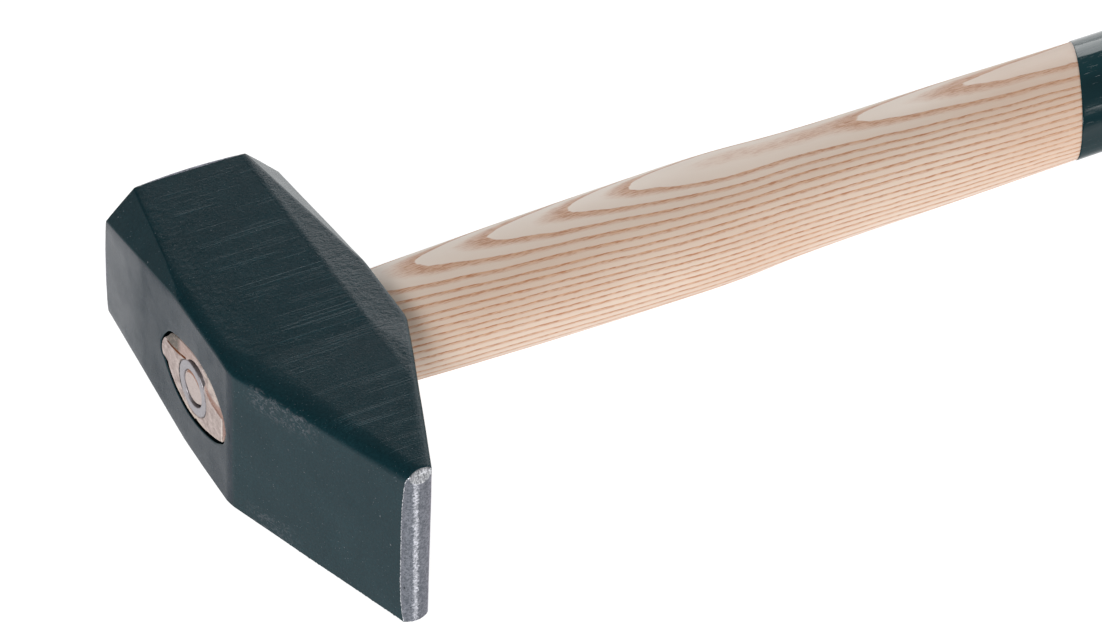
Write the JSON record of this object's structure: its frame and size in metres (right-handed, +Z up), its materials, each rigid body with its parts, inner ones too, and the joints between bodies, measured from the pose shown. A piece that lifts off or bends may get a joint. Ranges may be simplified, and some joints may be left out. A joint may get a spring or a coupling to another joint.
{
  "type": "cross-pein sledge hammer",
  "caption": "Cross-pein sledge hammer: forged painted head, ash handle held by a steel ring wedge, dipped grip.",
  "frame": {"origin": "on the lower ground cheek of the head, under the middle of the eye, halfway between the eye face and the handle side", "axes": "+X along the handle from the head to the butt; +Y towards the striking face and -Y towards the pein; +Z up out of the upper cheek"},
  "size_m": [0.6003, 0.1606, 0.0609],
  "materials": {
    "head_paint": "satin dark green-black paint over the forged skin; nose and striking face ground bare",
    "ash_wood": "sanded ash with a light satin finish, reddish growth rings along the handle",
    "ring_steel": "satin grey steel",
    "grip_lacquer": "glossy dipped lacquer, very dark green"
  },
  "bodies": {
    "root": {"hammer_head": "head_paint", "handle": "ash_wood", "ring_wedge": "ring_steel", "grip_coating": "grip_lacquer"}
  },
  "joints": []
}
